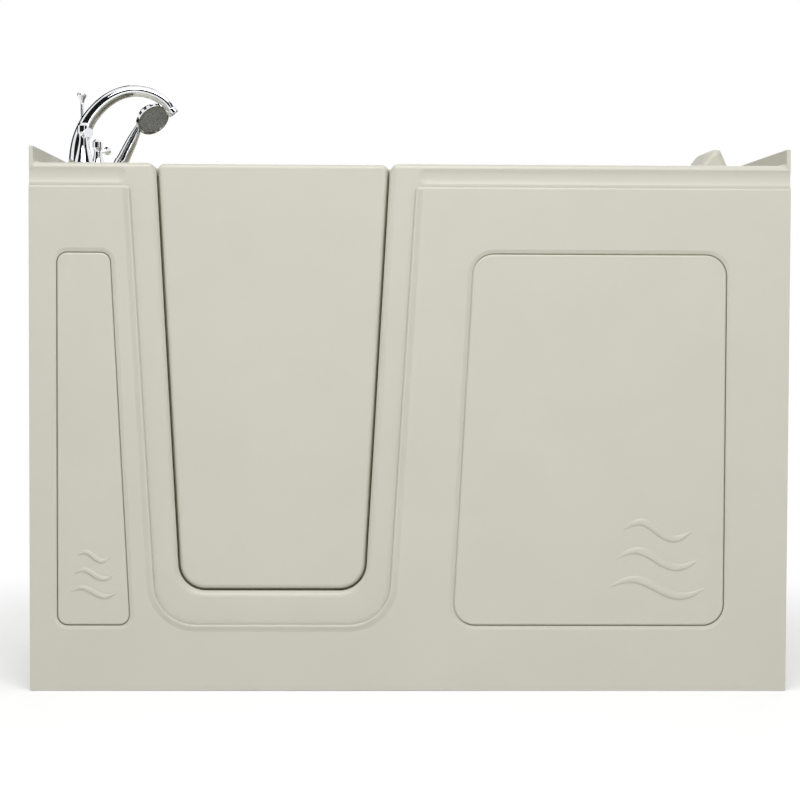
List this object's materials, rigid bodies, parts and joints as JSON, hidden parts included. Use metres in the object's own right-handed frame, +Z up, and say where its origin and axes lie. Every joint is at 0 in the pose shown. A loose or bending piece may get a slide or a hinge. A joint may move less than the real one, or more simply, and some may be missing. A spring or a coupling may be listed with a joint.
{
  "type": "walk-in bathtub",
  "caption": "Walk-in alcove soaking tub with an inward-swinging front door, built-in seat, removable apron panels, deck-mounted taps and hand shower.",
  "frame": {"origin": "centre of the tub's footprint on the floor", "axes": "+X along the tub from the drain end to the seat end, +Y from the front apron to the wall behind, +Z up"},
  "size_m": [1.524, 0.762, 1.2457],
  "materials": {
    "biscuit_gelcoat": "glossy moulded gelcoat",
    "chrome": "polished chrome plate",
    "stainless": "satin stainless",
    "frame_steel": "galvanised grey",
    "zinc": "zinc plated",
    "pad_rubber": "black moulded rubber",
    "seal_rubber": "soft grey-brown seal",
    "plywood": "raw plywood",
    "nozzle_grey": "satin grey",
    "brass": "raw brass",
    "copper": "drawn copper tube",
    "waste_plastic": "white waste pipe plastic"
  },
  "bodies": {
    "tub": {"apron_brackets": "frame_steel", "base_rail_front": "frame_steel", "base_rail_rear": "frame_steel", "cold_inlet": "copper", "cold_valve": "brass", "corner_posts": "frame_steel", "cross_members": "frame_steel", "diverter_guide": "chrome", "door_posts": "frame_steel", "door_seal": "seal_rubber", "drain_flange": "chrome", "drain_shoe": "waste_plastic", "end_rails": "frame_steel", "floor_board": "plywood", "foot_nuts": "zinc", "foot_pads": "pad_rubber", "foot_studs": "zinc", "front_apron": "biscuit_gelcoat", "grab_bar": "stainless", "grab_flanges": "stainless", "hinge_pin": "stainless", "hinge_wall_leaf": "stainless", "hot_inlet": "copper", "hot_valve": "brass", "latch_keeper": "stainless", "mixing_tee": "brass", "overflow_elbow": "waste_plastic", "overflow_pipe": "waste_plastic", "overflow_plate": "chrome", "panel_sockets": "waste_plastic", "seat_bearers": "frame_steel", "seat_legs": "frame_steel", "shower_holder": "chrome", "spout": "chrome", "spout_aerator": "chrome", "spout_shank": "brass", "supply_tubes": "copper", "tailpiece": "waste_plastic", "tap_escutcheons": "chrome", "top_rails": "frame_steel", "tub_shell": "biscuit_gelcoat", "waste_pipe": "waste_plastic", "waste_tee": "waste_plastic"},
    "door": {"door_outer": "biscuit_gelcoat", "door_inner": "biscuit_gelcoat", "door_core": "plywood", "hinge_door_leaf": "stainless"},
    "latch": {"latch_lever": "stainless"},
    "hot_handle": {"hot_handle": "chrome"},
    "cold_handle": {"cold_handle": "chrome"},
    "diverter": {"diverter_rod": "chrome"},
    "hand_shower": {"shower_handle": "chrome", "shower_face": "nozzle_grey"},
    "spray_ring": {"shower_lug_ring": "chrome"},
    "left_panel": {"left_panel": "biscuit_gelcoat", "left_panel_studs": "waste_plastic"},
    "right_panel": {"right_panel": "biscuit_gelcoat", "right_panel_studs": "waste_plastic"},
    "overflow_knob": {"overflow_knob": "chrome"},
    "stopper": {"drain_stopper": "chrome"}
  },
  "joints": [
    {"name": "door_hinge", "type": "hinge", "parent": "tub", "child": "door", "pos_m": [-0.532, -0.2968, 0.635], "axis": [0, 0, 1], "range_deg": [0, 90]},
    {"name": "latch_turn", "type": "hinge", "parent": "door", "child": "latch", "pos_m": [-0.0652, -0.2916, 0.88], "axis": [0, 1, 0], "range_deg": [0, 90]},
    {"name": "hot_turn", "type": "hinge", "parent": "tub", "child": "hot_handle", "pos_m": [-0.668, -0.25, 1.066], "axis": [0, 0, 1], "range_deg": [0, 90]},
    {"name": "cold_turn", "type": "hinge", "parent": "tub", "child": "cold_handle", "pos_m": [-0.69, 0.22, 1.066], "axis": [0, 0, -1], "range_deg": [0, 90]},
    {"name": "diverter_lift", "type": "slide", "parent": "tub", "child": "diverter", "axis": [0, 0, 1], "range_m": [0, 0.014]},
    {"name": "shower_lift", "type": "slide", "parent": "tub", "child": "hand_shower", "axis": [0.4415, 0, 0.8973], "range_m": [0, 0.09]},
    {"name": "spray_turn", "type": "hinge", "parent": "hand_shower", "child": "spray_ring", "pos_m": [-0.55419, 0.08954, 1.18091], "axis": [0.4999, -0.6199, -0.6049], "range_deg": [0, 90]},
    {"name": "left_panel_pull", "type": "slide", "parent": "tub", "child": "left_panel", "axis": [0, -1, 0], "range_m": [0, 0.12]},
    {"name": "right_panel_pull", "type": "slide", "parent": "tub", "child": "right_panel", "axis": [0, -1, 0], "range_m": [0, 0.12]},
    {"name": "overflow_turn", "type": "hinge", "parent": "tub", "child": "overflow_knob", "pos_m": [-0.5776, 0.02, 0.88], "axis": [1, 0, 0], "range_deg": [0, 90]},
    {"name": "stopper_lift", "type": "slide", "parent": "tub", "child": "stopper", "axis": [0, 0, 1], "range_m": [0, 0.0121]}
  ],
  "couplings": [
    {"joint": "stopper_lift", "follows": "overflow_turn", "m_per_rad": 0.007639}
  ]
}
